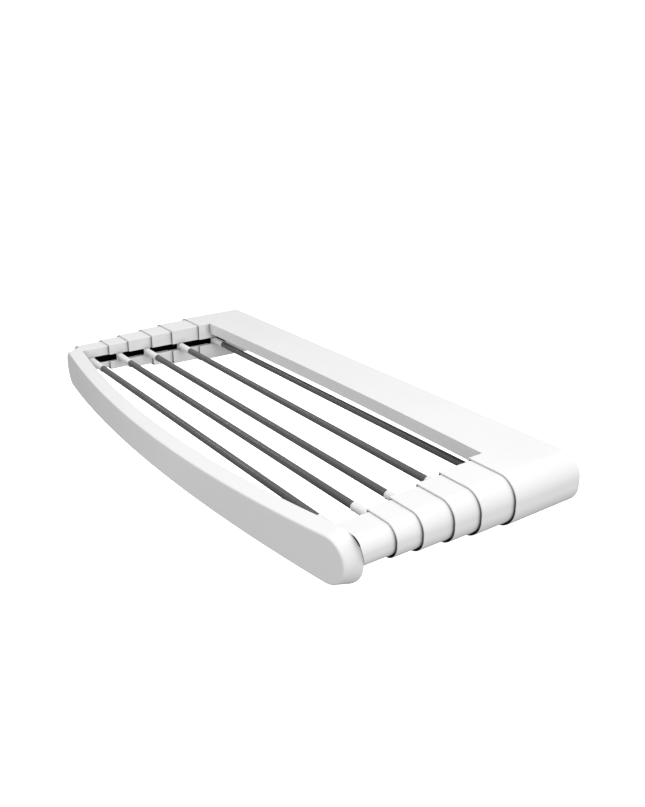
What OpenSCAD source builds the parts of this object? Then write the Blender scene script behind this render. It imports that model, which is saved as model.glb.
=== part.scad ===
// Wall mounted telescopic drying rack.
// The wall is the plane y = 0, the rack pulls out towards -Y, and z = 0 is the axis of the rods.
// It is drawn pulled out. Stage 0 is the fixed housing and stage 5 carries the front panel.

/* [Housing] */
// Width along the wall
overall_w = 1080; // [1000:10:1200]
// Height
housing_h = 86; // [84:1:90]
// Depth from the wall to the front edge of the housing's arms
housing_d = 142; // [140:1:150]
// Width of each housing arm
arm_w = 102; // [98:1:108]
// Wall thickness of the housing and the stages
wall_t = 2.2; // [2:0.1:2.4]
// Depth of the crossbar where it meets the arms
crossbar_d = 113.5; // [100:0.5:116]
// Height of the crossbar's front skirt
crossbar_h = 24.4; // [20:0.1:26]
// How far the middle of the crossbar's front is hollowed towards the wall
crossbar_hollow = 7; // [4:0.5:10]

/* [Telescopic stages] */
// Length of each stage's arms
stage_l = 139; // [132:1:139]
// Length of each stage that shows when it is pulled out
exposed = [66, 48, 54.5, 44, 50]; // [44:0.5:66]
// Step from one stage to the next at the top
step_top = 3.2; // [3.1:0.1:3.4]
// Step at the bottom
step_bottom = 4.2; // [4:0.1:4.4]
// Step at the outer side
step_side = 4; // [3.8:0.1:4.2]
// Step at the slotted inner side
step_lip = 4.4; // [4.2:0.1:4.8]
// Radius of the housing's upper outer corner
corner_top = 37; // [34:1:38]
// Radius of the housing's lower outer corner
corner_bottom = 38; // [36:1:40]
// Height of the slot that the rods' ends slide through
slot_h = 15.6; // [15.4:0.1:16]

/* [Rods] */
// Diameter of a rod
rod_d = 13; // [12:0.5:13.5]
// Wall of the rod's tube
rod_wall = 1; // [0.8:0.1:1.5]
// Length of a rod that shows between its two ferrules
rod_show = 794; // [780:2:800]
// Distance from each stage's front edge back to its rod
rod_set_back = [106, 69, 43, 23.5, 10.5]; // [10:0.5:106]
// Diameter of the ferrules
ferrule_d = 14.5; // [14:0.1:15]
// Depth of the rod's socket in a ferrule
socket_l = 30; // [20:1:34]

/* [Front panel] */
// Half of the panel's width
panel_half_w = 515.5; // [512:0.5:517]
// Height of the panel at its round ends
panel_h = 86; // [84:1:88]
// How far the middle of the panel's axis lies under the rods
panel_drop = 13.5; // [12:0.5:15]
// How far the top edge dips in the middle
panel_dip = 9.5; // [5:0.5:12]
// How far the bottom edge rises in the middle
panel_rise = 4.5; // [2:0.5:8]
// Thickness at the ends
panel_t = 27.5; // [24:0.5:30]
// How far the middle of the back bows out
panel_bow_back = 45.5; // [40:0.5:50]
// How far the middle of the front bows out
panel_bow_front = 43; // [40:0.5:50]
// Wall of the panel's shell
panel_wall = 2.6; // [2.2:0.1:3]

/* [Wall plate] */
// Thickness of the wall plate
plate_t = 3; // [3:0.5:4]
// Spacing of the wall screws along the wall
screw_span = 600; // [500:10:700]
// Spacing of the wall screws up and down
screw_rise = 28; // [24:1:30]
// Diameter of the wall screw holes
wall_hole_d = 5.5; // [5:0.5:6]

/* [Hidden] */
$fn = 96;

SIDES = [-1, 1];
MOULDING = "#f4f4f4";
GLIDE = "#e6e3d8";
ROD = "#5c5c5c";
SCREW = "silver";

// fits and small clearances
cut = 1;                // overshoot of cutting shapes
fit = 0.2;              // gap between pieces that are fixed together
lip_t = 2;              // thickness of the slotted inner wall
lip_corner = 1.5;       // radius of a stage's inner corners
inner_corner = 0.8;     // the same inside its hollow
corner_step = 3;        // each stage's outer corners are this much tighter than the last
rim_l = 3;              // length of the stop rim inside each front edge
rim_gap = 0.4;          // clearance between that rim and the next stage
mouth_t = 1.4;          // the side and bottom walls are this thin over the same length
glide_x = 8;            // the glides start this far from the slotted wall
glide_w = 20;
glide_gap = 0.35;
lap = 7;                // the last arm's upper outer corner laps this far over the panel's end
lap_x = 485;            // it starts to lap here
lap_z = 12;             // and grows from this far under the rods to this far over them
flange_t = 1.2;         // flange that holds a ferrule behind its slot
flange_h = 24;
bead_l = 3;             // ring at a ferrule's mouth
bead_h = 0.45;
bore_less = 3;          // a ferrule's bore beyond its socket is this much tighter than the rod
rib_t = 2;
rib_rise = 3;           // the crossbar's ribs end this far above its skirt
crossbar_t = 2.4;
crossbar_ribs = 9;
boss_r = 5;
boss_l = 15;
hole_end = 2;           // blind holes end this far from a boss's end, or run this far past a screw
pad_r = 9;              // raised pads round the wall screw holes
pad_t = 2.5;
cover_t = 2.4;          // the panel's back cover
panel_rib_pitch = 130;
panel_ribs = 3;         // ribs on each side of the middle one
end_steps = 36;         // segments of the panel's round ends
edge_steps = 24;        // and of its top and bottom edges
tongue_l = 11;          // how deep a tongue's root sits in the panel
rod_end_gap = 0.5;      // between a rod's end and the bottom of its socket
over = 5;               // how far a blank shape stands past the one it is trimmed to
sharp = 0.01;           // radius of a corner that isn't rounded
fine = 3000;            // segments of the very large arcs

// stage geometry, k = 0 for the housing
function x_out(k) = overall_w / 2 - step_side * k;
function x_lip(k) = overall_w / 2 - arm_w + step_lip * k;
function z_top(k) = housing_h / 2 - step_top * k;
function z_bottom(k) = -housing_h / 2 + step_bottom * k;
function sum_to(list, k) = k == 0 ? 0 : list[k - 1] + sum_to(list, k - 1);
function y_front(k) = -housing_d - sum_to(exposed, k);
function y_rod(k) = y_front(k) + rod_set_back[k - 1];

// radius of the arc with this sagitta over this half chord
function arc_r(half, sag) = (half * half + sag * sag) / (2 * sag);

panel_r = panel_h / 2;
panel_end_x = panel_half_w - panel_r;
y_back_ends = y_front(5);
back_r = arc_r(panel_half_w, panel_bow_back);
front_r = arc_r(panel_half_w, panel_bow_front);
y_back_mid = y_back_ends - panel_bow_back;
y_front_mid = y_back_ends - panel_t - panel_bow_front;

spigot_x = 466;
spigot_w = 18;
spigot_deep = 18.5;
panel_screw_x = 475;
panel_screw_y = y_back_ends + 8.5;
plate_screw_x = [45, 130, 215];
plate_screw_z = housing_h / 2 - 7;

// countersunk fixing screws
screw_r = 1.5;
head_r = 2.8;
head_edge = 0.2;
head_h = 1.5;
hole_gap = 0.1;
plate_screw_l = 14;
panel_screw_l = 10;

// a quarter round outside the corner at the origin, for rounding off the +x +y corner of a square
module corner_cut(r) {
    translate([-r, -r])
        difference() {
            square(r + cut);
            circle(r);
        }
}

// a rectangle in x and z with small corners on the lip side and large ones on the outer side
module arm_section(x0, x1, z0, z1, r_lip, r_top, r_bottom) {
    difference() {
        translate([x0, z0])
            square([x1 - x0, z1 - z0]);
        translate([x1, z1])
            corner_cut(r_top);
        translate([x1, z0])
            mirror([0, 1])
                corner_cut(r_bottom);
        translate([x0, z1])
            mirror([1, 0])
                corner_cut(r_lip);
        translate([x0, z0])
            rotate(180)
                corner_cut(r_lip);
    }
}

// the outline of stage k
module stage_outline(k) {
    arm_section(x_lip(k), x_out(k), z_bottom(k), z_top(k), lip_corner,
        corner_top - corner_step * k, corner_bottom - corner_step * k);
}

// its hollow inside
module stage_hollow(k) {
    arm_section(x_lip(k) + lip_t, x_out(k) - wall_t, z_bottom(k) + wall_t, z_top(k) - wall_t,
        inner_corner, corner_top - corner_step * k - wall_t, corner_bottom - corner_step * k - wall_t);
}

// the hollow at the mouth: the stop rim hangs from the top, and the side and the bottom are thinned
module mouth_hollow(k) {
    arm_section(x_lip(k) + lip_t, x_out(k) - mouth_t, z_bottom(k) + mouth_t, z_top(k + 1) + rim_gap,
        inner_corner, corner_top - corner_step * k - mouth_t, corner_bottom - corner_step * k - mouth_t);
}

// extrudes an x-z section towards -Y from y0 over length l
module along_y(y0, l) {
    translate([0, y0, 0])
        rotate([90, 0, 0])
            linear_extrude(l)
                children();
}

module slot(k, y0, l) {
    translate([x_lip(k) - cut, y0 - l, -slot_h / 2])
        cube([lip_t + 2 * cut, l, slot_h]);
}

// the right-hand channel of stage k, from y_rear to its front edge; the last stage has no mouth
module channel(k, y_rear, y_end) {
    l = y_rear - y_end;
    mouth_l = k < 5 ? rim_l : 0;
    difference() {
        union() {
            along_y(y_rear, l - mouth_l)
                difference() {
                    stage_outline(k);
                    stage_hollow(k);
                }
            if (k < 5)
                along_y(y_end + mouth_l, mouth_l) {
                    difference() {
                        stage_outline(k);
                        mouth_hollow(k);
                    }
                    // stop under the lower glide
                    translate([x_lip(k) + lip_t / 2, z_bottom(k) + mouth_t / 2])
                        square([glide_x + glide_w + step_lip, step_bottom - mouth_t / 2 - rim_gap]);
                }
        }
        slot(k, y_rear + cut, l + 2 * cut);
    }
}

// points along an arc about c
function arc(c, r, a0, a1, n) =
    [for (i = [0 : n]) let (a = a0 + (a1 - a0) * i / n) c + r * [cos(a), sin(a)]];

// the panel's elevation: round ends joined by two shallow hollow arcs, drawn inset by the given amount
module panel_outline(inset) {
    half = panel_h / 2;
    x = panel_end_x;
    up = half - panel_dip;
    down = half - panel_rise;
    r_up = (x * x + up * up - half * half) / (2 * panel_dip);
    r_down = (x * x + down * down - half * half) / (2 * panel_rise);
    turn_up = asin(x / (r_up + half));
    turn_down = asin(x / (r_down + half));
    translate([0, -panel_drop])
        polygon(concat(
            arc([x, 0], half - inset, -90 - turn_down, 90 + turn_up, end_steps),
            arc([0, up + r_up], r_up + inset, turn_up - 90, -turn_up - 90, edge_steps),
            arc([-x, 0], half - inset, 90 - turn_up, 270 + turn_down, end_steps),
            arc([0, -down - r_down], r_down + inset, 90 + turn_down, 90 - turn_down, edge_steps)));
}

// the panel's plan: the band between its two bowed faces, each moved in by the given amount
module panel_plan(off_back, off_front) {
    difference() {
        intersection() {
            translate([0, y_front_mid + front_r])
                circle(front_r - off_front, $fn = fine);
            translate([-panel_half_w - over, y_front_mid - over])
                square([2 * (panel_half_w + over), panel_t + panel_bow_front + 3 * over]);
        }
        translate([0, y_back_mid + back_r])
            circle(back_r + off_back, $fn = fine);
    }
}

module panel_solid(inset, off_back, off_front) {
    intersection() {
        translate([0, 0, -panel_drop - panel_h])
            linear_extrude(2 * panel_h)
                panel_plan(off_back, off_front);
        along_y(y_back_ends + over, panel_t + panel_bow_front + 4 * over)
            panel_outline(inset);
    }
}

// a countersunk screw along +Z, its head's face at z = 0
module screw(l) {
    rotate_extrude()
        polygon([[0, 0], [head_r, 0], [head_r, head_edge], [screw_r, head_h], [screw_r, l], [0, l]]);
}

module screw_hole(l) {
    r = screw_r + hole_gap;
    rotate_extrude()
        polygon([[0, -cut], [head_r + hole_gap, -cut], [head_r + hole_gap, head_edge + hole_gap],
            [r, head_h + hole_gap], [r, l], [0, l]]);
}

// places its child at each fixing screw of the wall plate, pointing away from the wall
module at_plate_screws() {
    for (s = SIDES, x = plate_screw_x)
        translate([s * x, 0, plate_screw_z])
            rotate([90, 0, 0])
                children();
}

module at_panel_screws() {
    for (s = SIDES)
        translate([s * panel_screw_x, panel_screw_y, z_bottom(5)])
            children();
}

// the plan of the crossbar, moved in by the given amount at its hollowed front
module crossbar_plan(inset) {
    half = x_lip(0) + lip_t / 2;
    r = arc_r(x_lip(0), crossbar_hollow);
    difference() {
        translate([-half, -crossbar_d + inset])
            square([2 * half, crossbar_d - inset]);
        translate([0, -crossbar_d + crossbar_hollow - r])
            circle(r + inset, $fn = fine);
    }
}

module crossbar() {
    z0 = housing_h / 2 - crossbar_h;
    difference() {
        translate([0, 0, z0])
            linear_extrude(crossbar_h)
                crossbar_plan(0);
        translate([0, 0, z0 - cut])
            linear_extrude(crossbar_h - crossbar_t + cut)
                difference() {
                    crossbar_plan(crossbar_t);
                    for (s = SIDES)
                        translate([s * (x_lip(0) + cut) - cut, -crossbar_d])
                            square([2 * cut, crossbar_d]);
                }
    }
    // closes the arms' rounded inner corners where the crossbar's top runs on over them
    for (s = [0, 1])
        mirror([s, 0, 0])
            translate([x_lip(0) - cut, -crossbar_d, housing_h / 2 - wall_t])
                cube([lip_corner + 2 * cut, crossbar_d, wall_t]);
    rib_gap = 2 * x_lip(0) / (crossbar_ribs + 1);
    for (i = [1 : crossbar_ribs])
        translate([-x_lip(0) + i * rib_gap - rib_t / 2, 0, z0 + rib_rise])
            intersection() {
                translate([0, -crossbar_d, 0])
                    cube([rib_t, crossbar_d, crossbar_h - rib_rise - crossbar_t / 2]);
                translate([x_lip(0) - i * rib_gap + rib_t / 2, 0, 0])
                    linear_extrude(crossbar_h)
                        crossbar_plan(crossbar_t / 2);
            }
}

module plate_outline(inset) {
    for (s = [0, 1])
        mirror([s, 0])
            arm_section(-cut, overall_w / 2 - inset, -housing_h / 2 + inset, housing_h / 2 - inset, sharp,
                corner_top - inset, corner_bottom - inset);
}

module housing() {
    pocket = wall_t + fit;
    color(MOULDING)
        difference() {
            union() {
                for (s = [0, 1])
                    mirror([s, 0, 0])
                        channel(0, 0, -housing_d);
                crossbar();
                at_plate_screws()
                    translate([0, 0, plate_t + fit])
                        cylinder(r = boss_r, h = boss_l);
            }
            along_y(cut, plate_t + fit + cut)
                plate_outline(pocket);
            at_plate_screws()
                translate([0, 0, plate_t])
                    cylinder(r = screw_r + hole_gap, h = boss_l - hole_end);
        }
}

module wall_plate() {
    color(MOULDING)
        difference() {
            union() {
                along_y(0, plate_t)
                    plate_outline(wall_t + 2 * fit);
                for (s = SIDES, v = SIDES)
                    translate([s * screw_span / 2, 0, v * screw_rise / 2])
                        rotate([90, 0, 0])
                            cylinder(r = pad_r, h = plate_t + pad_t);
            }
            for (s = SIDES, v = SIDES)
                translate([s * screw_span / 2, cut, v * screw_rise / 2])
                    rotate([90, 0, 0])
                        cylinder(d = wall_hole_d, h = plate_t + pad_t + 2 * cut);
            at_plate_screws()
                screw_hole(plate_t + cut);
        }
}

module plate_screws() {
    color(SCREW)
        at_plate_screws()
            screw(plate_screw_l);
}

module stage_arm(k) {
    color(MOULDING)
        if (k < 5)
            channel(k, y_front(k) + stage_l, y_front(k));
        else
            last_arm();
}

// the last stage's arm runs up to the bowed panel, and its upper outer corner laps over the panel's end
module last_arm() {
    y = y_front(5);
    difference() {
        union() {
            channel(5, y + stage_l, y - 2 * lap);
            // closes the arm where it stands out past the panel's round end
            along_y(y + wall_t, wall_t + 2 * lap)
                difference() {
                    stage_outline(5);
                    panel_outline(panel_wall);
                }
        }
        panel_solid(-fit, -fit, 0);
        translate([lap_x, 0, 0])
            rotate([90, 0, 90])
                linear_extrude(overall_w / 2 - lap_x)
                    polygon([[y, -housing_h], [y, -lap_z], [y - lap, lap_z], [y - lap, housing_h],
                        [y - 3 * lap, housing_h], [y - 3 * lap, -housing_h]]);
        at_panel_screws()
            screw_hole(wall_t + cut);
    }
}

module left(k) {
    mirror([1, 0, 0])
        stage_arm(k);
}

// slippery strips on stage k that run inside the stage before it and stop at its rim
module glides(k) {
    y0 = y_front(k) + stage_l;
    l = y0 - (y_front(k - 1) + rim_l + rim_gap);
    top_t = step_top - wall_t - glide_gap;
    bottom_t = step_bottom - wall_t - glide_gap;
    color(GLIDE)
        for (s = [0, 1])
            mirror([s, 0, 0]) {
                translate([x_lip(k) + glide_x, y0 - l, z_top(k)])
                    cube([glide_w, l, top_t]);
                translate([x_lip(k) + glide_x, y0 - l, z_bottom(k) - bottom_t])
                    cube([glide_w, l, bottom_t]);
            }
}

module rod(k) {
    l = rod_show + 2 * (socket_l - rod_end_gap);
    color(ROD)
        translate([-l / 2, y_rod(k), 0])
            rotate([0, 90, 0])
                difference() {
                    cylinder(d = rod_d, h = l);
                    translate([0, 0, -cut])
                        cylinder(d = rod_d - 2 * rod_wall, h = l + 2 * cut);
                }
}

// a sleeve over the rod's end that passes through its stage's slot, with a flange behind the slotted wall
module ferrule(k) {
    x0 = rod_show / 2;
    x1 = x_lip(k) + lip_t + flange_t;
    difference() {
        union() {
            translate([x0, y_rod(k), 0])
                rotate([0, 90, 0]) {
                    cylinder(d = ferrule_d, h = x1 - x0);
                    cylinder(d = ferrule_d + 2 * bead_h, h = bead_l);
                }
            translate([x1 - flange_t, y_rod(k) - ferrule_d / 2, -flange_h / 2])
                cube([flange_t, ferrule_d, flange_h]);
        }
        translate([x0, y_rod(k), 0])
            rotate([0, 90, 0]) {
                translate([0, 0, -cut])
                    cylinder(d = rod_d + hole_gap, h = socket_l + cut);
                cylinder(d = rod_d - bore_less, h = x1 - x0 - flange_t / 2);
            }
    }
}

module ferrules(k) {
    color(MOULDING)
        for (s = [0, 1])
            mirror([s, 0, 0])
                ferrule(k);
}

module front_panel() {
    color(MOULDING) {
        difference() {
            panel_solid(0, 0, 0);
            panel_solid(panel_wall, -cut, panel_wall);
        }
        // stiffening ribs from the front wall to the back cover
        intersection() {
            panel_solid(panel_wall / 2, cover_t + fit, panel_wall / 2);
            for (i = [-panel_ribs : panel_ribs])
                translate([i * panel_rib_pitch - rib_t / 2, y_front_mid - cut, -housing_h])
                    cube([rib_t, 4 * panel_t, 2 * housing_h]);
        }
    }
}

module panel_back() {
    color(MOULDING)
        difference() {
            union() {
                intersection() {
                    panel_solid(panel_wall + fit, 0, panel_wall + fit);
                    translate([0, 0, -panel_drop - panel_h])
                        linear_extrude(2 * panel_h)
                            difference() {
                                translate([-panel_half_w, y_front_mid])
                                    square([2 * panel_half_w, panel_t + panel_bow_front]);
                                panel_plan(cover_t, -panel_t);
                            }
                }
                // tongues that plug into the last stage's arms, their roots in the bowed cover
                for (s = [0, 1])
                    mirror([s, 0, 0])
                        translate([spigot_x, y_back_ends - tongue_l, z_bottom(5) + wall_t + fit / 2])
                            cube([spigot_w, tongue_l + spigot_deep,
                                z_top(5) - z_bottom(5) - 2 * wall_t - 2 * fit]);
            }
            at_panel_screws()
                cylinder(r = screw_r + hole_gap / 2, h = panel_screw_l + hole_end);
        }
}

module panel_screws() {
    color(SCREW)
        at_panel_screws()
            screw(panel_screw_l);
}

housing();
wall_plate();
plate_screws();
left(1);  // stage_1_arm_left
stage_arm(1);  // stage_1_arm_right
glides(1);  // stage_1_glides
rod(1);  // rod_1
ferrules(1);  // rod_1_ferrules
left(2);  // stage_2_arm_left
stage_arm(2);  // stage_2_arm_right
glides(2);  // stage_2_glides
rod(2);  // rod_2
ferrules(2);  // rod_2_ferrules
left(3);  // stage_3_arm_left
stage_arm(3);  // stage_3_arm_right
glides(3);  // stage_3_glides
rod(3);  // rod_3
ferrules(3);  // rod_3_ferrules
left(4);  // stage_4_arm_left
stage_arm(4);  // stage_4_arm_right
glides(4);  // stage_4_glides
rod(4);  // rod_4
ferrules(4);  // rod_4_ferrules
left(5);  // stage_5_arm_left
stage_arm(5);  // stage_5_arm_right
glides(5);  // stage_5_glides
rod(5);  // rod_5
ferrules(5);  // rod_5_ferrules
front_panel();
panel_back();
panel_screws();
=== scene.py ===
"""Wall mounted telescopic drying rack: a white moulded housing, five nested sliding stages on each side,
five dark rods with white ferrules and a bowed front panel. Metres, in the CAD frame: the wall is the plane
y = 0, the rack pulls out towards -Y, and z = 0 is the axis of the rods."""
import math

import bmesh
import bpy
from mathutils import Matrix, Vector


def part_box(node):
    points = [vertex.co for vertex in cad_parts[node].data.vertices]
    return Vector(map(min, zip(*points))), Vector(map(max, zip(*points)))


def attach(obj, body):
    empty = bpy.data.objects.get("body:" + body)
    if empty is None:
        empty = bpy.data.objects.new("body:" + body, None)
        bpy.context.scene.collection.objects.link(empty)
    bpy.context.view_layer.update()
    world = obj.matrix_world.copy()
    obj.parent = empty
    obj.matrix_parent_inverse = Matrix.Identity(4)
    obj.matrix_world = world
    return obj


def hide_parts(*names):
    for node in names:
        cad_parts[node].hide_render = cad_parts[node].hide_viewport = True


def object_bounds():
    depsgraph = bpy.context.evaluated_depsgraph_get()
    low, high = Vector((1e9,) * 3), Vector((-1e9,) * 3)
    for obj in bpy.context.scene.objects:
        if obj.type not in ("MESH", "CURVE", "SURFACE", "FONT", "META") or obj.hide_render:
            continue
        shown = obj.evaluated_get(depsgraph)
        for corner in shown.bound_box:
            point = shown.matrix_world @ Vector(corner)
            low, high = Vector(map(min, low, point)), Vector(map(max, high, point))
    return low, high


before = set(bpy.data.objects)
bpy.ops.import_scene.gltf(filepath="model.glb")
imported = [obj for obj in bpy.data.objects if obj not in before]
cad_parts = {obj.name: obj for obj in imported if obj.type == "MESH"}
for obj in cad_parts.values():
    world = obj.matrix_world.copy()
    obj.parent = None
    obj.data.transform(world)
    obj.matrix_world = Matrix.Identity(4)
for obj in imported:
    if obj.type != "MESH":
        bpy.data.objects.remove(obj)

cad_low, cad_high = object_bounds()
MM = 0.001
STAGES = range(1, 6)

# ---- shape details that the boxes of the CAD nodes don't give ----
WALL = 2.2 * MM             # wall of the housing and the stages
LIP = 2.0 * MM              # their slotted inner wall
CORNER_TOP = 37 * MM        # outer corners of the housing, and how much tighter each stage's are
CORNER_BOTTOM = 38 * MM
CORNER_STEP = 3 * MM
LIP_CORNER = 1.5 * MM
INNER_CORNER = 0.8 * MM
SLOT_HALF = 7.8 * MM
RIM_LENGTH = 3 * MM         # the stop rim inside each front edge
RIM_GAP = 0.4 * MM
MOUTH_WALL = 1.4 * MM       # the side and bottom walls are thinner over the same length
EDGE = 0.3 * MM             # rounding of moulded edges
LAP_SHARE = 0.70            # the last arm laps over the panel's end by this share of how far it stands out
LAP_SLIT = 0.10             # and by this much less at the slit beside the panel's end
LAP_TURN = 47               # the slit's middle, in degrees about the centre of the panel's round end
LAP_OPEN = (5, 14)          # it is open up to this many degrees away, and closed from this many on
LAP_WHITE = 8 * MM          # the last arm is white inside over this length
LAP_GAP = 0.3 * MM          # between the last arm and the panel
END_WALL_BACK = 0.2 * MM    # the last arm's end wall lies this far behind the arm's edge
END_WALL_LAP = 1 * MM       # and reaches this far in behind the panel
PLATE_POCKET = 3.2 * MM
CROSSBAR_SKIRT = 24.4 * MM
CROSSBAR_DEPTH = 113.5 * MM
CROSSBAR_HOLLOW = 7 * MM
CROSSBAR_TOP = 2.4 * MM
CROSSBAR_EDGE = 1.0 * MM
CROSSBAR_SINK = 0.02 * MM   # its top lies this far under the arms' tops, too little to see
CROSSBAR_SPANS = 24         # along half of its length
CROSSBAR_SHORT = 0.1 * MM   # it ends this far inside the arms' slotted wall
CROSSBAR_CORNER = 1 * MM    # between its skirt and its top, inside
CROSSBAR_RIBS = 9
RIB_HALF = 1 * MM
RIB_RISE = 3 * MM
PANEL_THICK = 27.5 * MM     # at the panel's ends
PANEL_BOW_BACK = 45.5 * MM
PANEL_BOW_FRONT = 43 * MM
PANEL_DIP = 9.5 * MM
PANEL_RISE = 4.5 * MM
PANEL_WALL = 2.6 * MM
PANEL_DRAFT = 5.5 * MM      # the panel's front face is this much smaller all round than its back
PANEL_STRAIGHT = 3 * MM     # the rim's straight part next to the back
PANEL_FRONT_EDGE = 3.5 * MM
PANEL_BACK_EDGE = 0.8 * MM
ROD_SHOW = 397 * MM         # half of the rod's length between its ferrules
ROD_SPANS = 12
ROD_WALL = 1 * MM
ROD_EDGE = 0.4 * MM
FERRULE_R = 7.25 * MM
FERRULE_BORE = 6.55 * MM
FERRULE_BORE_DEPTH = 4 * MM
FERRULE_LEAD = 0.2 * MM     # the small steps beside its bead
BEAD_LENGTH = 3 * MM
BEAD_HEIGHT = 0.45 * MM     # over the ferrule
BEAD_ROOT = 0.25 * MM       # the bead starts this far under its surface
FLANGE = 1.2 * MM
FLANGE_EDGE = 0.35 * MM
MERGE = 1e-6                # vertices closer than this are one
SHARP_ANGLE = math.radians(35)


# ---- mesh helpers ----
def new_object(name, bm, materials):
    """Turns bm into an object."""
    bmesh.ops.remove_doubles(bm, verts=bm.verts, dist=MERGE)
    bmesh.ops.recalc_face_normals(bm, faces=bm.faces)
    mesh = bpy.data.meshes.new(name)
    bm.to_mesh(mesh)
    bm.free()
    for material in materials:
        mesh.materials.append(material)
    piece = bpy.data.objects.new(name, mesh)
    bpy.context.scene.collection.objects.link(piece)
    return piece


def new_piece(name, bm, materials, body, replaced):
    """Turns bm into an object that rides on a body and stands for CAD nodes."""
    piece = new_object(name, bm, materials)
    piece.data.shade_smooth()
    piece.data.set_sharp_from_angle(angle=SHARP_ANGLE)
    normals = piece.modifiers.new("normals", "WEIGHTED_NORMAL")
    normals.keep_sharp = True
    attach(piece, body)
    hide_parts(*replaced)


def arc(cx, cz, r, start, end, count):
    """count + 1 points on an arc, angles in degrees."""
    step = (end - start) / count
    angles = [math.radians(start + step * i) for i in range(count + 1)]
    return [(cx + r * math.cos(a), cz + r * math.sin(a)) for a in angles]


def loft(bm, rings, materials=None):
    """Joins rings of points with quads. materials gives the material index of each segment round a ring."""
    layers = [[bm.verts.new(p) for p in ring] for ring in rings]
    count = len(rings[0])
    for a, b in zip(layers, layers[1:]):
        for i in range(count):
            j = (i + 1) % count
            face = bm.faces.new((a[i], a[j], b[j], b[i]))
            if materials:
                face.material_index = materials[i]
    return layers


def ladder(bm, loop):
    """Fills a closed loop whose points pair up across it, from its first point to the middle one."""
    count = len(loop)
    for i in range(count // 2):
        corners = [loop[i], loop[i + 1], loop[count - i - 1], loop[-i % count]]
        bm.faces.new(list(dict.fromkeys(corners)))


def box_mesh(bm, low, high):
    """A plain block between two corners."""
    made = bmesh.ops.create_cube(bm, size=1)["verts"]
    for v in made:
        v.co = Vector([low[i] if v.co[i] < 0 else high[i] for i in range(3)])
    return made


def mirror_x(bm):
    """Mirrors the whole mesh from the right-hand side to the left."""
    for v in bm.verts:
        v.co.x = -v.co.x
    bmesh.ops.reverse_faces(bm, faces=bm.faces)


def mirrored(bm):
    """Adds the mesh's mirror image across x = 0 and joins the two there."""
    middle = [f for f in bm.faces if all(abs(v.co.x) < MERGE for v in f.verts)]
    bmesh.ops.delete(bm, geom=middle, context="FACES")
    parts = bmesh.ops.duplicate(bm, geom=list(bm.verts) + list(bm.edges) + list(bm.faces))["geom"]
    for part in parts:
        if isinstance(part, bmesh.types.BMVert):
            part.co.x = -part.co.x
    bmesh.ops.reverse_faces(bm, faces=[part for part in parts if isinstance(part, bmesh.types.BMFace)])
    bmesh.ops.remove_doubles(bm, verts=bm.verts, dist=MERGE)


def edge_steps(radius, count):
    """(inset, setback) pairs that round an edge, from its flat side to the full section."""
    angles = [math.radians(90 * i / count) for i in range(count + 1)]
    return [(radius * (1 - math.sin(a)), radius * (1 - math.cos(a))) for a in angles]


def clean_cad_node(node, material, bevel=0.4 * MM):
    """A CAD node that stays: welded, its sharp edges rounded, with a real material."""
    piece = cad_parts[node]
    piece.data.materials.clear()
    piece.data.materials.append(material)
    weld = piece.modifiers.new("weld", "WELD")
    weld.merge_threshold = MERGE
    rounding = piece.modifiers.new("edges", "BEVEL")
    rounding.width = bevel
    rounding.segments = 2
    rounding.limit_method = "ANGLE"
    rounding.angle_limit = math.radians(40)
    rounding.use_clamp_overlap = True
    normals = piece.modifiers.new("normals", "WEIGHTED_NORMAL")
    normals.keep_sharp = False
    return piece


# ---- materials ----
class Nodes:
    """A short way to write a node tree."""

    def __init__(self, name):
        self.material = bpy.data.materials.new(name)
        self.material.use_nodes = True
        self.tree = self.material.node_tree
        self.shader = self.tree.nodes["Principled BSDF"]
        self.place = self.add("ShaderNodeTexCoord").outputs["Object"]

    def add(self, kind, **settings):
        node = self.tree.nodes.new(kind)
        for key, value in settings.items():
            setattr(node, key, value)
        return node

    def link(self, a, b):
        self.tree.links.new(a, b)

    def noise(self, scale, detail=3.0, stretch=(1, 1, 1), rough=0.5):
        """Noise with features of about 1 / scale metres, longer along an axis whose stretch is below 1."""
        mapping = self.add("ShaderNodeMapping")
        mapping.inputs["Scale"].default_value = stretch
        self.link(self.place, mapping.inputs["Vector"])
        node = self.add("ShaderNodeTexNoise")
        node.inputs["Scale"].default_value = scale
        node.inputs["Detail"].default_value = detail
        node.inputs["Roughness"].default_value = rough
        self.link(mapping.outputs["Vector"], node.inputs["Vector"])
        return node.outputs["Fac"]

    def spread(self, value, low, high, start=0.3, end=0.7):
        """Maps a value from start..end to low..high."""
        node = self.add("ShaderNodeMapRange")
        node.inputs["From Min"].default_value = start
        node.inputs["From Max"].default_value = end
        node.inputs["To Min"].default_value = low
        node.inputs["To Max"].default_value = high
        self.link(value, node.inputs["Value"])
        return node.outputs["Result"]

    def mix(self, factor, a, b):
        """A colour between a and b, each a colour or a socket."""
        node = self.add("ShaderNodeMix", data_type="RGBA")
        self.link(factor, node.inputs["Factor"])
        for socket, value in ((node.inputs[6], a), (node.inputs[7], b)):
            if isinstance(value, tuple):
                socket.default_value = (*value, 1)
            else:
                self.link(value, socket)
        return node.outputs[2]

    def maths(self, operation, a, b):
        node = self.add("ShaderNodeMath", operation=operation)
        for socket, value in zip(node.inputs, (a, b)):
            if isinstance(value, (int, float)):
                socket.default_value = value
            else:
                self.link(value, socket)
        return node.outputs[0]

    def bump(self, height, distance, strength=1.0):
        node = self.add("ShaderNodeBump")
        node.inputs["Strength"].default_value = strength
        node.inputs["Distance"].default_value = distance
        self.link(height, node.inputs["Height"])
        self.link(node.outputs["Normal"], self.shader.inputs["Normal"])

    def set(self, **values):
        for key, value in values.items():
            self.shader.inputs[key.replace("_", " ")].default_value = value


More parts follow.
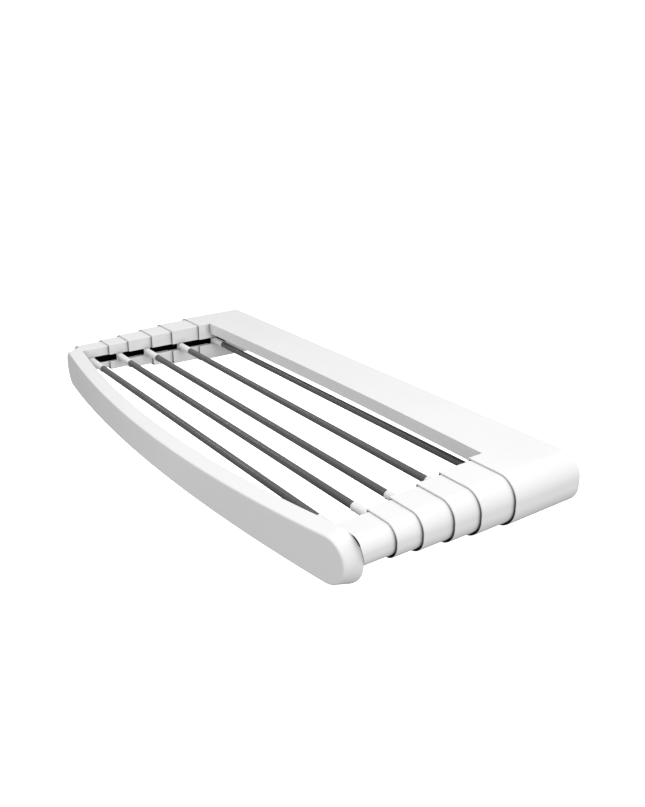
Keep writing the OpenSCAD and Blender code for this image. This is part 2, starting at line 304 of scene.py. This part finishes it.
def moulded_plastic(name, light, dark, rough=(0.34, 0.46), rub=(1, 1, 1), grain=2200, painted_crease_shade=False):
    """Satin moulded plastic: a fine spark-eroded grain, faint flow mottling and rub marks along the slide.
    With the last flag set, painted shade darkens the colour where the surface runs into another piece."""
    m = Nodes(name)
    mottle = m.noise(7, detail=4)
    scuff = m.noise(180, detail=5, stretch=rub, rough=0.65)
    marks = m.spread(scuff, 0, 1, 0.56, 0.72)
    base = m.mix(m.spread(mottle, 0, 1), light, dark)
    worn = m.mix(m.maths("MULTIPLY", marks, 0.35), base, tuple(c * 0.93 for c in dark))
    # painted shade: where ambient occlusion finds another piece within 18 mm, the colour darkens towards
    # grey 0.10, most on side faces and least on tops and end faces
    if painted_crease_shade:
        crease = m.add("ShaderNodeAmbientOcclusion", samples=8)
        crease.inputs["Distance"].default_value = 18 * MM
        split = m.add("ShaderNodeSeparateXYZ")
        m.link(m.add("ShaderNodeTexCoord").outputs["Normal"], split.inputs[0])
        side = m.spread(split.outputs["Z"], 0.8, 0.12, 0.35, 0.95)
        along = m.spread(m.maths("ABSOLUTE", split.outputs["Y"], 0), 1, 0.3, 0.3, 0.6)
        painted_shade = m.spread(crease.outputs["AO"], 1, 0, 0.5, 0.95)
        worn = m.mix(m.maths("MULTIPLY", painted_shade, m.maths("MULTIPLY", side, along)), worn, (0.10, 0.10, 0.10))
    m.link(worn, m.shader.inputs["Base Color"])
    fine = m.noise(grain, detail=2)
    roughness = m.maths("ADD", m.spread(fine, rough[0], rough[1]), m.maths("MULTIPLY", marks, 0.08))
    m.link(roughness, m.shader.inputs["Roughness"])
    waves = m.maths("MULTIPLY", m.noise(26, detail=2), 6.0)
    m.bump(m.maths("ADD", fine, waves), 0.012 * MM)
    m.set(IOR=1.49)
    return m.material


def painted_shade_inside():
    """The inside of the channels, painted near black as the shade that falls in them, with faint streaks
    along the slide.
    """
    m = Nodes("channel_inside_painted_shade")
    streaks = m.noise(240, detail=4, stretch=(1, 0.08, 1))
    base = m.mix(m.spread(streaks, 0, 1), (0.006, 0.006, 0.006), (0.014, 0.014, 0.015))
    m.link(base, m.shader.inputs["Base Color"])
    m.link(m.spread(streaks, 0.6, 0.8), m.shader.inputs["Roughness"])
    m.bump(streaks, 0.02 * MM)
    return m.material


def powder_coat():
    """Dark grey powder coat on the rods, with orange peel, drawn lines along the tube and light wear."""
    m = Nodes("rod_coat")
    lines = m.noise(420, detail=3, stretch=(0.02, 1, 1))
    patches = m.noise(16, detail=4)
    base = m.mix(m.spread(lines, 0, 1), (0.075, 0.075, 0.077), (0.11, 0.11, 0.112))
    worn = m.mix(m.maths("MULTIPLY", m.spread(patches, 0, 1, 0.58, 0.74), 0.4), base, (0.15, 0.15, 0.15))
    m.link(worn, m.shader.inputs["Base Color"])
    peel = m.noise(900, detail=2)
    m.link(m.spread(peel, 0.26, 0.34), m.shader.inputs["Roughness"])
    m.bump(m.maths("ADD", peel, m.maths("MULTIPLY", lines, 0.3)), 0.01 * MM)
    m.set(IOR=1.5)
    return m.material


def zinc():
    """Zinc plated screw heads."""
    m = Nodes("zinc_plate")
    crystals = m.noise(1500, detail=4)
    base = m.mix(m.spread(crystals, 0, 1), (0.52, 0.53, 0.55), (0.66, 0.67, 0.68))
    m.link(base, m.shader.inputs["Base Color"])
    m.link(m.spread(crystals, 0.24, 0.42), m.shader.inputs["Roughness"])
    m.bump(crystals, 0.02 * MM)
    m.set(Metallic=1.0)
    return m.material


WHITE = (0.86, 0.86, 0.862)
WHITE_DARK = (0.835, 0.836, 0.84)
# the housing and the stages get painted shade in their creases and seams
housing_white = moulded_plastic("housing_white", WHITE, WHITE_DARK, rub=(1, 0.6, 1), painted_crease_shade=True)
stage_white = moulded_plastic("stage_white", WHITE, WHITE_DARK, rub=(1, 0.06, 1), painted_crease_shade=True)
panel_white = moulded_plastic("panel_white", WHITE, WHITE_DARK, rub=(0.4, 1, 1))
ferrule_white = moulded_plastic("ferrule_white", (0.85, 0.85, 0.85), (0.82, 0.82, 0.82), rub=(0.5, 1, 1))
plate_white = moulded_plastic("plate_white", (0.8, 0.8, 0.8), (0.77, 0.77, 0.77), rough=(0.45, 0.6))
glide_white = moulded_plastic("glide_white", (0.74, 0.72, 0.66), (0.7, 0.68, 0.62), rough=(0.25, 0.35))
inside_painted_shade = painted_shade_inside()
rod_grey = powder_coat()
screw_zinc = zinc()


# ---- the sliding channels ----
def channel_path(x0, x1, z0, z1, r_top, r_bottom, r_lip, edge_x):
    """One side of a channel's wall, from the middle of the slot's upper edge round to its lower edge.
    edge_x is the place of the middle of the slotted wall, where the wall's two sides meet."""
    s = SLOT_HALF
    if edge_x > x0:
        upper = arc(x0 + EDGE, s + EDGE, EDGE, 270, 180, 3)
        lower = arc(x0 + EDGE, -s - EDGE, EDGE, 180, 90, 3)
    else:
        upper = arc(x0 - EDGE, s + EDGE, EDGE, 270, 360, 3)
        lower = arc(x0 - EDGE, -s - EDGE, EDGE, 0, 90, 3)
    return (
        [(edge_x, s)] + upper
        + arc(x0 + r_lip, z1 - r_lip, r_lip, 180, 90, 5)
        + arc(x1 - r_top, z1 - r_top, r_top, 90, 0, 24)
        + arc(x1 - r_bottom, z0 + r_bottom, r_bottom, 0, -90, 24)
        + arc(x0 + r_lip, z0 + r_lip, r_lip, 270, 180, 5)
        + lower + [(edge_x, -s)]
    )


def stage_box(k):
    """(lip x, outer x, bottom z, top z, front y, rear y) of a stage's right-hand arm, 0 for the housing."""
    if k == 0:
        low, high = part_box("housing")
        lip_1, lip_2 = (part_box(f"stage_{i}_arm_right")[0].x for i in (1, 2))
        return 2 * lip_1 - lip_2, high.x, low.z, high.z, low.y, high.y
    low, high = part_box(f"stage_{k}_arm_right")
    return low.x, high.x, low.z, high.z, low.y, high.y


def corner_radii(k):
    return CORNER_TOP - CORNER_STEP * k, CORNER_BOTTOM - CORNER_STEP * k


def channel_paths(k):
    """The outer side, inner side and stop rim of a stage's section."""
    x0, x1, z0, z1, _, _ = stage_box(k)
    r_top, r_bottom = corner_radii(k)
    edge_x = x0 + LIP / 2
    outer = channel_path(x0, x1, z0, z1, r_top, r_bottom, LIP_CORNER, edge_x)
    def hollow(wall, ceiling):
        return channel_path(x0 + LIP, x1 - wall, z0 + wall, ceiling,
                            r_top - wall, r_bottom - wall, INNER_CORNER, edge_x)
    inner = hollow(WALL, z1 - WALL)
    rim = hollow(MOUTH_WALL, stage_box(k + 1)[3] + RIM_GAP) if k < 5 else inner
    return outer, inner, rim


def section_ring(outer, inner, inset, place):
    """A closed ring: the outer side, then the inner side back, each moved in by inset towards the other."""
    def towards(a, b):
        gap = math.hypot(b[0] - a[0], b[1] - a[1])
        share = inset / gap if gap > 2 * inset else 0
        return (a[0] + (b[0] - a[0]) * share, a[1] + (b[1] - a[1]) * share)
    out = [towards(a, b) for a, b in zip(outer, inner)]
    back = [towards(b, a) for a, b in zip(outer, inner)]
    ring = out + back[-2:0:-1]
    return [(x, place(x, z), z) for x, z in ring]


def channel(bm, k, front, rear):
    """The right-hand channel of stage k. front(x, z) and rear(x, z) give where it ends."""
    outer, inner, rim = channel_paths(k)
    count = len(outer)
    # white outside and, as painted shade, near black inside, apart from the edges of the slot
    inside = [0] * (count - 1) + [1] * (count - 1)
    for i in (0, 1, 2, 3, count - 5, count - 4, count - 3, count - 2):
        inside[i] = 0
        inside[2 * count - 3 - i] = 0
    rings = []
    for inset, setback in edge_steps(EDGE, 3):
        rings.append(section_ring(outer, rim, inset, lambda x, z, s=setback: front(x, z) + s))
    if rim is inner:
        # the last arm is white inside as far as it laps over the panel
        rings.append(section_ring(outer, inner, 0, lambda x, z: front(x, z) + LAP_WHITE))
        mouth = loft(bm, rings)
        ladder(bm, mouth[0])
        rings = rings[-1:]
    else:
        rings.append(section_ring(outer, rim, 0, lambda x, z: front(x, z) + RIM_LENGTH))
        rings.append(section_ring(outer, inner, 0, lambda x, z: front(x, z) + RIM_LENGTH))
    for inset, setback in reversed(edge_steps(EDGE, 3)):
        rings.append(section_ring(outer, inner, inset, lambda x, z, s=setback: rear(x, z) - s))
    layers = loft(bm, rings, materials=inside)
    if rim is not inner:
        ladder(bm, layers[0])
    ladder(bm, layers[-1])


# ---- the bowed panel ----
def panel_faces():
    """The y of the panel's back and front at any x, and its outline's measures, from the panel's box."""
    low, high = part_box("front_panel")
    half = high.x
    back_ends = low.y + PANEL_BOW_FRONT + PANEL_THICK
    def bowed(ends, bow):
        r = (half * half + bow * bow) / (2 * bow)
        return lambda x: ends - bow + r - math.sqrt(r * r - x * x)
    return bowed(back_ends, PANEL_BOW_BACK), bowed(back_ends - PANEL_THICK, PANEL_BOW_FRONT), low, high


panel_back_y, panel_front_y, panel_low, panel_high = panel_faces()
PANEL_R = (panel_high.z - panel_low.z) / 2
PANEL_Z = (panel_high.z + panel_low.z) / 2
PANEL_END_X = panel_high.x - PANEL_R


def panel_edge(side, x, inset):
    """z of the top (side 1) or bottom (side -1) edge between the round ends."""
    depth = PANEL_DIP if side > 0 else PANEL_RISE
    half = PANEL_R - depth
    r = (PANEL_END_X ** 2 + half ** 2 - PANEL_R ** 2) / (2 * depth)
    return PANEL_Z + side * (half + r - math.sqrt((r + inset) ** 2 - x * x))


def panel_outline(inset, turns=18, spans=48):
    """A closed loop from the left end over the top to the right end and back below, its points paired."""
    r = PANEL_R - inset
    cx = PANEL_END_X
    left = [(-cx + r * math.cos(a), r * math.sin(a)) for a in
            (math.radians(180 - 88 * i / turns) for i in range(turns + 1))]
    middle = [-cx + 2 * cx * i / spans for i in range(1, spans)]
    top = [(x, PANEL_Z + z) for x, z in left]
    top += [(x, panel_edge(1, x, inset)) for x in middle]
    top += [(-x, PANEL_Z + z) for x, z in reversed(left)]
    bottom = [(x, PANEL_Z - z) for x, z in left[1:]]
    bottom += [(x, panel_edge(-1, x, inset)) for x in middle]
    bottom += [(-x, PANEL_Z - z) for x, z in reversed(left[1:])]
    return top + bottom[::-1]


def panel_ring(inset, depth):
    return [(x, depth(x), z) for x, z in panel_outline(inset)]


def make_panel():
    """The panel's shell: bowed front, drafted rim with a soft front edge, open at the back."""
    bm = bmesh.new()
    rings = []
    for inset, setback in edge_steps(PANEL_FRONT_EDGE, 6):
        rings.append(panel_ring(PANEL_DRAFT + inset, lambda x, s=setback: panel_front_y(x) + s))
    rings.append(panel_ring(0, lambda x: panel_back_y(x) - PANEL_STRAIGHT))
    for inset, setback in reversed(edge_steps(PANEL_BACK_EDGE, 3)):
        rings.append(panel_ring(inset, lambda x, s=setback: panel_back_y(x) - s))
    rings.append(panel_ring(PANEL_WALL - EDGE, panel_back_y))
    rings.append(panel_ring(PANEL_WALL, lambda x: panel_back_y(x) - EDGE))
    rings.append(panel_ring(PANEL_WALL, lambda x: panel_back_y(x) - PANEL_STRAIGHT))
    inside = PANEL_DRAFT + PANEL_WALL
    rings.append(panel_ring(inside, lambda x: panel_front_y(x) + PANEL_FRONT_EDGE))
    rings.append(panel_ring(inside + PANEL_WALL, lambda x: panel_front_y(x) + PANEL_WALL))
    layers = loft(bm, rings)
    ladder(bm, layers[0])
    ladder(bm, layers[-1])
    new_piece("front_panel_shell", bm, [panel_white], "stage_5", ["front_panel"])


# ---- the housing ----
def crossbar_front(x):
    """The y of the crossbar's hollowed front."""
    half = stage_box(0)[0]
    r = (half ** 2 + CROSSBAR_HOLLOW ** 2) / (2 * CROSSBAR_HOLLOW)
    return -CROSSBAR_DEPTH + CROSSBAR_HOLLOW - (r - math.sqrt(r * r - min(abs(x), half) ** 2))


def half_crossbar(bm):
    """The right half of the wide top plate with its hollowed front skirt. It ends in the arm's wall."""
    x_lip, _, _, top, _, rear = stage_box(0)
    x_end = x_lip + LIP - CROSSBAR_SHORT
    top -= CROSSBAR_SINK
    e = CROSSBAR_EDGE
    bottom = top - CROSSBAR_SKIRT
    rings = []
    for i in range(CROSSBAR_SPANS + 1):
        x = x_end * i / CROSSBAR_SPANS
        y = crossbar_front(x)
        outside = arc(y + e, top - e, e, 90, 180, 5) + arc(y + EDGE, bottom + EDGE, EDGE, 180, 270, 3)
        inside = arc(y + CROSSBAR_TOP - EDGE, bottom + EDGE, EDGE, 270, 360, 3)
        ceiling = arc(y + CROSSBAR_TOP + CROSSBAR_CORNER, top - CROSSBAR_TOP - CROSSBAR_CORNER,
                      CROSSBAR_CORNER, 180, 90, 3)
        rear_edge = [(rear - EDGE, top - CROSSBAR_TOP), (rear - EDGE, top)]
        rings.append([(x, py, pz) for py, pz in outside + inside + ceiling + rear_edge])
    layers = loft(bm, rings)
    bm.faces.new(layers[0])
    bm.faces.new(layers[-1][::-1])


def make_housing():
    """Both arms and the crossbar in one skin, so that the top runs through without a seam."""
    x_lip, _, _, top, front, rear = stage_box(0)
    def rear_end(x, z):
        return rear - PLATE_POCKET if x < x_lip + LIP_CORNER and z < top - WALL else rear
    materials = [housing_white, inside_painted_shade]
    bm = bmesh.new()
    half_crossbar(bm)
    bar = new_object("crossbar", bm, materials)
    bm = bmesh.new()
    channel(bm, 0, lambda x, z: front, rear_end)
    arm = new_object("arm", bm, materials)
    join = bar.modifiers.new("join", "BOOLEAN")
    join.operation = "UNION"
    join.solver = "EXACT"
    join.object = arm
    bpy.context.view_layer.update()
    joined = bar.evaluated_get(bpy.context.evaluated_depsgraph_get()).to_mesh()
    bm = bmesh.new()
    bm.from_mesh(joined)
    bpy.data.objects.remove(arm)
    bpy.data.objects.remove(bar)
    mirrored(bm)
    gap = 2 * x_lip / (CROSSBAR_RIBS + 1)
    for i in range(1, CROSSBAR_RIBS + 1):
        x = -x_lip + i * gap
        y = crossbar_front(x) + CROSSBAR_TOP
        low = (x - RIB_HALF, y, top - CROSSBAR_SKIRT + RIB_RISE)
        box_mesh(bm, low, (x + RIB_HALF, -PLATE_POCKET, top - CROSSBAR_TOP))
    new_piece("housing_shell", bm, materials, "wall_unit", ["housing"])


# ---- the stages ----
def from_slit(x, z):
    """The angle about the panel's end from the middle of the slit."""
    return math.degrees(math.atan2(z - PANEL_Z, x - PANEL_END_X)) - LAP_TURN


def slit_opening(x, z):
    """How far the slit beside the panel's round end is open here, from 0 to 1."""
    return min(1, max(0, (LAP_OPEN[1] - abs(from_slit(x, z))) / (LAP_OPEN[1] - LAP_OPEN[0])))


def last_front(x, z):
    """Where the last arm ends: on the panel's back, or lapped over its round end where it stands out."""
    x = abs(x)
    out = max(0.0, math.hypot(x - PANEL_END_X, z - PANEL_Z) - PANEL_R) if x > PANEL_END_X else 0.0
    share = LAP_SHARE - LAP_SLIT * slit_opening(x, z)
    return panel_back_y(min(x, panel_high.x)) + LAP_GAP - share * out


def end_wall(bm, path):
    """A wall from the last arm's outline in behind the panel's round end, along a part of that outline."""
    rings = []
    for x, z in path:
        dx, dz = x - PANEL_END_X, z - PANEL_Z
        away = math.hypot(dx, dz)
        if away < PANEL_R + LAP_GAP:
            continue
        def at(radius):
            return PANEL_END_X + dx * radius / away, PANEL_Z + dz * radius / away
        ends = [at(away - EDGE), at(PANEL_R - END_WALL_LAP)]
        ring = [(px, last_front(px, pz) + END_WALL_BACK, pz) for px, pz in ends]
        rings.append(ring + [(px, py + WALL, pz) for px, py, pz in reversed(ring)])
    if len(rings) < 2:
        return      # the outline hardly stands out here
    layers = loft(bm, rings)
    bm.faces.new(layers[0])
    bm.faces.new(layers[-1][::-1])


def close_last_arm(bm, slit):
    """Closes the last arm where it stands out past the panel's round end, apart from the slit."""
    outer = [p for p in channel_paths(5)[0] if p[0] > PANEL_END_X]
    if slit:
        closed = [p for p in outer if slit_opening(*p) < 0.5]
        end_wall(bm, [p for p in closed if from_slit(*p) > 0])
        end_wall(bm, [p for p in closed if from_slit(*p) < 0])
    else:
        end_wall(bm, outer)


def make_stage_arms(k):
    """Both arms of a stage. The last one's slit is only on the right."""
    _, _, _, _, front, rear = stage_box(k)
    front_end = last_front if k == 5 else (lambda x, z: front)
    for side in ("right", "left"):
        bm = bmesh.new()
        channel(bm, k, front_end, lambda x, z: rear)
        if k == 5:
            close_last_arm(bm, side == "right")
        if side == "left":
            mirror_x(bm)
        node = f"stage_{k}_arm_{side}"
        new_piece(f"{node}_shell", bm, [stage_white, inside_painted_shade], f"stage_{k}", [node])


# ---- rods and ferrules ----
def lathe(bm, profile, y, z, count=48):
    """Turns (x, r) points about the line through y and z along X."""
    rings = []
    for x, r in profile:
        angles = [2 * math.pi * i / count for i in range(count)]
        rings.append([(x, y + r * math.cos(a), z + r * math.sin(a)) for a in angles])
    return loft(bm, rings)


def make_rod(k):
    low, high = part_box(f"rod_{k}")
    y, z = (low.y + high.y) / 2, (low.z + high.z) / 2
    r = (high.z - low.z) / 2
    x = high.x
    bm = bmesh.new()
    stations = [-ROD_SHOW + 2 * ROD_SHOW * i / ROD_SPANS for i in range(ROD_SPANS + 1)]
    profile = [(-x, r - ROD_WALL), (-x, r - ROD_EDGE), (-x + ROD_EDGE, r)] + [(s, r) for s in stations]
    profile += [(x - ROD_EDGE, r), (x, r - ROD_EDGE), (x, r - ROD_WALL)]
    layers = lathe(bm, profile, y, z)
    bm.faces.new(layers[0])
    bm.faces.new(layers[-1][::-1])
    new_piece(f"rod_{k}_tube", bm, [rod_grey], f"stage_{k}", [f"rod_{k}"])


def make_ferrules(k):
    """A sleeve with a beaded mouth on each end of the rod, and the flanges that hold it to its slot."""
    low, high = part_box(f"rod_{k}_ferrules")
    y, z = (low.y + high.y) / 2, (low.z + high.z) / 2
    x_in, x_out = ROD_SHOW, high.x
    r = FERRULE_R
    bm = bmesh.new()
    half = BEAD_LENGTH / 2
    bead = [(x_in + half - half * math.cos(a), r - BEAD_ROOT + (BEAD_HEIGHT + BEAD_ROOT) * math.sin(a))
            for a in (math.radians(180 * i / 8) for i in range(1, 8))]
    profile = [(x_in + FERRULE_BORE_DEPTH, FERRULE_BORE), (x_in + EDGE, FERRULE_BORE)]
    profile += [(x_in, FERRULE_BORE + FERRULE_LEAD)] + bead
    profile += [(x_in + BEAD_LENGTH + FERRULE_LEAD, r), (x_out - BEAD_LENGTH, r), (x_out - FLANGE, r)]
    layers = lathe(bm, profile, y, z)
    bm.faces.new(layers[0])
    bm.faces.new(layers[-1][::-1])
    x_lip = stage_box(k)[0]
    verts = box_mesh(bm, (x_lip + LIP, y - r, low.z), (x_lip + LIP + FLANGE, y + r, high.z))
    edges = {e for v in verts for e in v.link_edges}
    bmesh.ops.bevel(bm, geom=list(edges), offset=FLANGE_EDGE, segments=2, affect="EDGES")
    mirrored(bm)
    new_piece(f"rod_{k}_sleeves", bm, [ferrule_white], f"stage_{k}", [f"rod_{k}_ferrules"])


make_panel()
make_housing()
for k in STAGES:
    make_stage_arms(k)
    make_rod(k)
    make_ferrules(k)
    clean_cad_node(f"stage_{k}_glides", glide_white, 0.15 * MM)
clean_cad_node("wall_plate", plate_white)
clean_cad_node("panel_back", panel_white, 0.3 * MM)
clean_cad_node("plate_screws", screw_zinc, 0.1 * MM)
clean_cad_node("panel_screws", screw_zinc, 0.1 * MM)


# ---- floor, light and camera ----
def make_floor():
    """A plain white floor far below the rack, which hangs on a wall. It doesn't light the rack."""
    bpy.ops.mesh.primitive_plane_add(size=80, location=(0, 0, -1.75))
    floor = bpy.context.object
    floor.name = "floor"
    m = Nodes("floor_white")
    base = m.mix(m.spread(m.noise(2), 0, 1), (0.95, 0.95, 0.95), (0.97, 0.97, 0.97))
    m.link(base, m.shader.inputs["Base Color"])
    m.set(Roughness=0.8, Emission_Color=(1, 1, 1, 1), Emission_Strength=1.0)
    floor.data.materials.append(m.material)
    floor.visible_diffuse = False
    floor.visible_glossy = False


def make_world(base=0.60, slope=(0.32, -0.04, 0.48)):
    """A soft white studio that is brightest above and on the right. The camera sees plain white."""
    world = bpy.data.worlds.new("studio")
    bpy.context.scene.world = world
    world.use_nodes = True
    tree = world.node_tree
    tree.nodes.clear()
    add = tree.nodes.new
    place = add("ShaderNodeTexCoord")
    tilt = add("ShaderNodeVectorMath")
    tilt.operation = "DOT_PRODUCT"
    tilt.inputs[1].default_value = slope
    level = add("ShaderNodeMath")
    level.operation = "ADD"
    level.inputs[1].default_value = base
    floor_level = add("ShaderNodeMath")
    floor_level.operation = "MAXIMUM"
    floor_level.inputs[1].default_value = 0.02
    light = add("ShaderNodeBackground")
    plain = add("ShaderNodeBackground")
    path = add("ShaderNodeLightPath")
    choose = add("ShaderNodeMixShader")
    out = add("ShaderNodeOutputWorld")
    tree.links.new(place.outputs["Generated"], tilt.inputs[0])
    tree.links.new(tilt.outputs["Value"], level.inputs[0])
    tree.links.new(level.outputs[0], floor_level.inputs[0])
    tree.links.new(floor_level.outputs[0], light.inputs["Strength"])
    tree.links.new(path.outputs["Is Camera Ray"], choose.inputs["Fac"])
    tree.links.new(light.outputs[0], choose.inputs[1])
    tree.links.new(plain.outputs[0], choose.inputs[2])
    tree.links.new(choose.outputs[0], out.inputs["Surface"])
    light.inputs["Color"].default_value = (1, 1, 1, 1)
    plain.inputs["Color"].default_value = (1, 1, 1, 1)
    plain.inputs["Strength"].default_value = 1.05


def area_light(name, place, aim, size, watts):
    data = bpy.data.lights.new(name, "AREA")
    data.shape = "SQUARE"
    data.size = size
    data.energy = watts
    light = bpy.data.objects.new(name, data)
    bpy.context.scene.collection.objects.link(light)
    light.location = place
    light.rotation_euler = (Vector(aim) - Vector(place)).to_track_quat("-Z", "Y").to_euler()
    light.visible_camera = False


def make_camera(azimuth=54.465, elevation=21.643, distance=1.6092, right=0.1086, up=0.0178, lens=38.17):
    """Looks at the rack's middle from in front of its right-hand end, and from above."""
    a, e = math.radians(azimuth), math.radians(elevation)
    forward = Vector((-math.sin(a) * math.cos(e), math.cos(a) * math.cos(e), -math.sin(e)))
    across = Vector((math.cos(a), math.sin(a), 0))
    above = across.cross(forward)
    data = bpy.data.cameras.new("camera")
    data.sensor_width = 36
    data.lens = lens
    camera = bpy.data.objects.new("camera", data)
    bpy.context.scene.collection.objects.link(camera)
    middle = (cad_low + cad_high) / 2
    camera.location = middle - forward * distance + across * right + above * up
    camera.rotation_euler = forward.to_track_quat("-Z", "Y").to_euler()
    bpy.context.scene.camera = camera


make_floor()
make_world()
area_light("key", (0.62, -0.2, 1.2), (0.5, -0.2, 0), 0.8, 4)
area_light("streak", (-2.4, -0.9, 1.7), (0, -0.25, 0), 0.35, 4)
area_light("low_streak", (-2.27, -1.87, -1.1), (0, -0.25, 0), 0.8, 2)
make_camera()
bpy.context.scene.view_settings.view_transform = "Standard"
